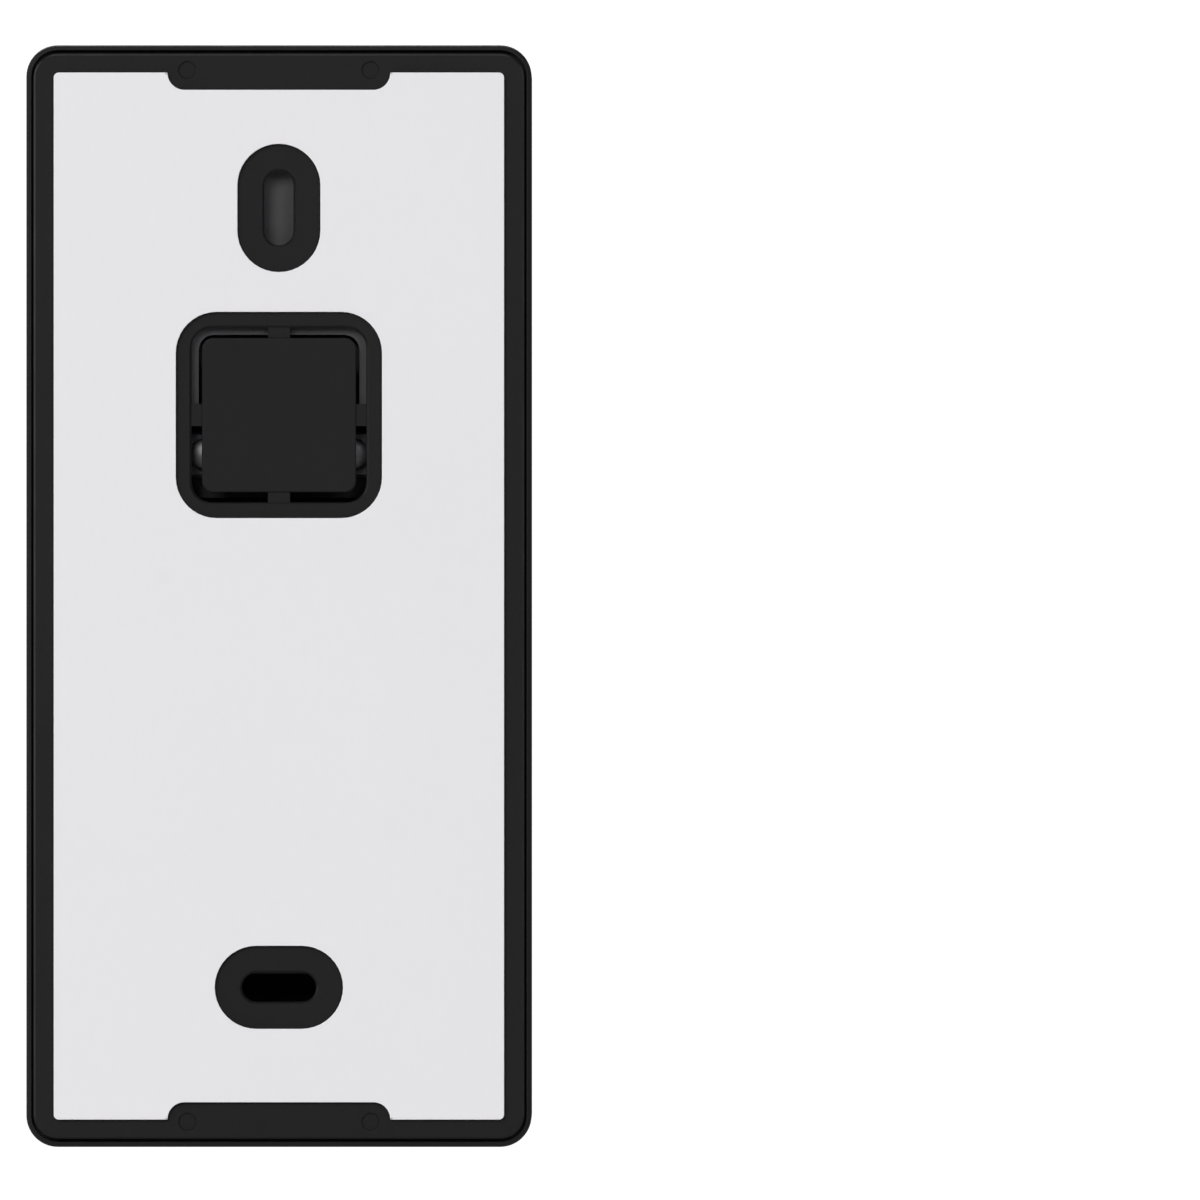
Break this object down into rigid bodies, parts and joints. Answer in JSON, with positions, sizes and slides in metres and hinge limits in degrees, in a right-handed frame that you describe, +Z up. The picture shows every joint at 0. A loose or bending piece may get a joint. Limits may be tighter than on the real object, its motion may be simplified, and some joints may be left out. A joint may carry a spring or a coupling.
{
  "type": "video doorbell",
  "caption": "Tall slim video doorbell clipped on its flat wall bracket, with a white adhesive sheet, screw slots and a wiring knock-out on the back and a camera and call button on the front.",
  "frame": {"origin": "centre of the back face of the adhesive sheet, in the plane of the wall", "axes": "+Z up along the tall side, +Y out of the back into the wall, -Y towards the visitor, +X to the visitor's right"},
  "size_m": [0.0642, 0.03, 0.14],
  "materials": {
    "white_liner": "smooth coated release paper, faint sheen",
    "white_foam": "matte closed-cell foam",
    "bracket_plastic": "fine textured black moulding",
    "shell_plastic": "satin black moulding",
    "grey_plastic": "matte mid grey moulding",
    "black_plastic": "matte",
    "button_plastic": "satin",
    "window_plastic": "polished",
    "milky_plastic": "milky, slightly glossy",
    "ring_plastic": "frosted light guide",
    "black_rubber": "matte",
    "screw_steel": "plated",
    "bright_steel": "tinned sheet",
    "dark_steel": "zinc plated, dull",
    "green_board": "solder mask",
    "amber_film": "polyimide film",
    "lens_glass": "coated",
    "led_epoxy": "tinted clear epoxy",
    "cell_jacket": "plain shrink jacket over a metal can",
    "cone_paper": "doped paper"
  },
  "bodies": {
    "bracket": {"wall_bracket": "bracket_plastic", "adhesive_foam_sheet": "white_foam", "release_liner": "white_liner"},
    "doorbell": {"antenna": "amber_film", "board_shield": "bright_steel", "button_membrane": "black_rubber", "call_switch": "black_plastic", "camera_bezel": "button_plastic", "camera_board": "green_board", "camera_holder": "black_plastic", "camera_ribbon": "amber_film", "contact_plate_low": "bright_steel", "contact_plate_top": "bright_steel", "contact_spring_1": "bright_steel", "contact_spring_2": "bright_steel", "contact_spring_3": "bright_steel", "contact_spring_4": "bright_steel", "cover_gasket": "black_rubber", "cover_screw_1": "screw_steel", "cover_screw_2": "screw_steel", "cover_screw_3": "screw_steel", "cover_screw_4": "screw_steel", "front_lens": "lens_glass", "front_window": "window_plastic", "housing_shell": "shell_plastic", "image_sensor": "black_plastic", "ir_led_1": "led_epoxy", "ir_led_2": "led_epoxy", "ir_led_3": "led_epoxy", "ir_led_4": "led_epoxy", "led_board": "green_board", "lens_barrel": "black_plastic", "light_ring": "ring_plastic", "main_board": "green_board", "microphone": "bright_steel", "motion_lens": "milky_plastic", "motion_sensor": "bright_steel", "rear_cover": "grey_plastic", "reset_switch": "black_plastic", "screw_relief_cup": "black_rubber", "speaker_cone": "cone_paper", "speaker_frame": "black_plastic", "speaker_gasket": "black_rubber", "tamper_switch": "black_plastic", "terminal_block": "black_plastic", "terminal_clamp_1": "dark_steel", "terminal_clamp_2": "dark_steel", "terminal_screw_1": "screw_steel", "terminal_screw_2": "screw_steel", "window_gasket": "black_rubber"},
    "battery_door": {"battery_door": "grey_plastic", "door_seal": "black_rubber"},
    "cells": {"battery_cell_1": "cell_jacket", "battery_cell_2": "cell_jacket", "battery_cell_3": "cell_jacket", "battery_cell_4": "cell_jacket"},
    "call_button": {"call_button_cap": "button_plastic"},
    "reset_button": {"reset_button": "button_plastic"},
    "tamper_plunger": {"tamper_plunger": "black_rubber"},
    "security_screw": {"security_screw": "screw_steel"}
  },
  "joints": [
    {"name": "unit_pull_off", "type": "slide", "parent": "bracket", "child": "doorbell", "axis": [0, -1, 0], "range_m": [0, 0.06]},
    {"name": "battery_door_lift", "type": "slide", "parent": "doorbell", "child": "battery_door", "axis": [0, 1, 0], "range_m": [0, 0.02]},
    {"name": "cells_lift", "type": "slide", "parent": "doorbell", "child": "cells", "axis": [0, 1, 0], "range_m": [0, 0.009]},
    {"name": "tamper_plunger_rise", "type": "slide", "parent": "doorbell", "child": "tamper_plunger", "axis": [0, 1, 0], "range_m": [0, 0.0015]},
    {"name": "call_button_press", "type": "slide", "parent": "doorbell", "child": "call_button", "axis": [0, 1, 0], "range_m": [0, 0.0006], "stiffness_N_per_m": 1200},
    {"name": "reset_button_press", "type": "slide", "parent": "doorbell", "child": "reset_button", "axis": [0, -1, 0], "range_m": [0, 0.0005], "stiffness_N_per_m": 800},
    {"name": "security_screw_back_out", "type": "slide", "parent": "doorbell", "child": "security_screw", "axis": [0, 0, -1], "range_m": [0, 0.004]}
  ],
  "couplings": [
    {"joint": "battery_door_lift", "follows": "unit_pull_off", "ratio": 0.33333},
    {"joint": "cells_lift", "follows": "unit_pull_off", "ratio": 0.15},
    {"joint": "tamper_plunger_rise", "follows": "unit_pull_off", "ratio": 0.025}
  ]
}
